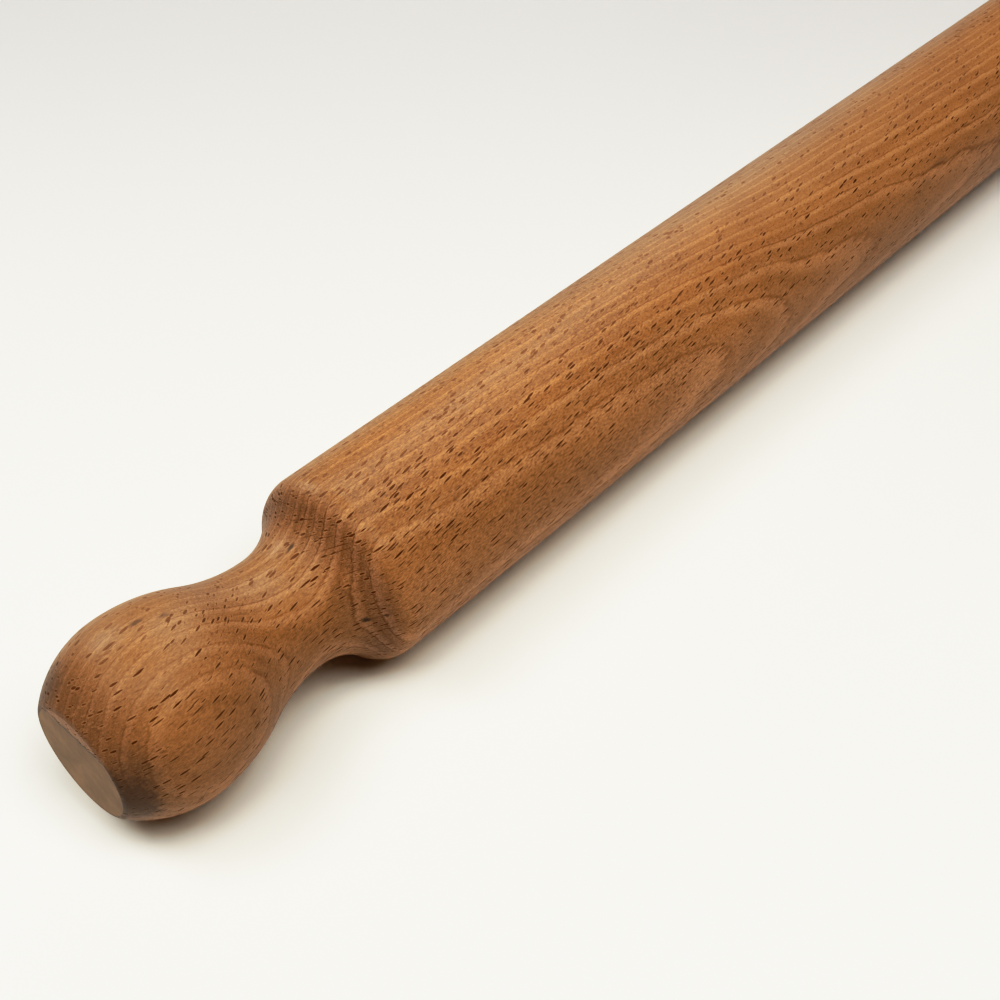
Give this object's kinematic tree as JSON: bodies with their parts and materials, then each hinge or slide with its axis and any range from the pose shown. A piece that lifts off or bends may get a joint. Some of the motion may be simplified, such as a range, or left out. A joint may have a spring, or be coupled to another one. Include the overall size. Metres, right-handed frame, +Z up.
{
  "type": "rolling pin",
  "caption": "One-piece turned beech rolling pin: a straight cylindrical barrel with a waisted neck and rounded, flat-ended knob at each end.",
  "frame": {"origin": "on the work surface, straight below the middle of the pin's axis", "axes": "+X along the pin's axis, from the near handle in the picture to the far one; +Z up, away from the work surface"},
  "size_m": [0.5, 0.05, 0.05],
  "materials": {
    "beech": "satin, lightly oiled beech with dark ray flecks along the grain"
  },
  "bodies": {
    "root": {"rolling_pin": "beech"}
  },
  "joints": []
}
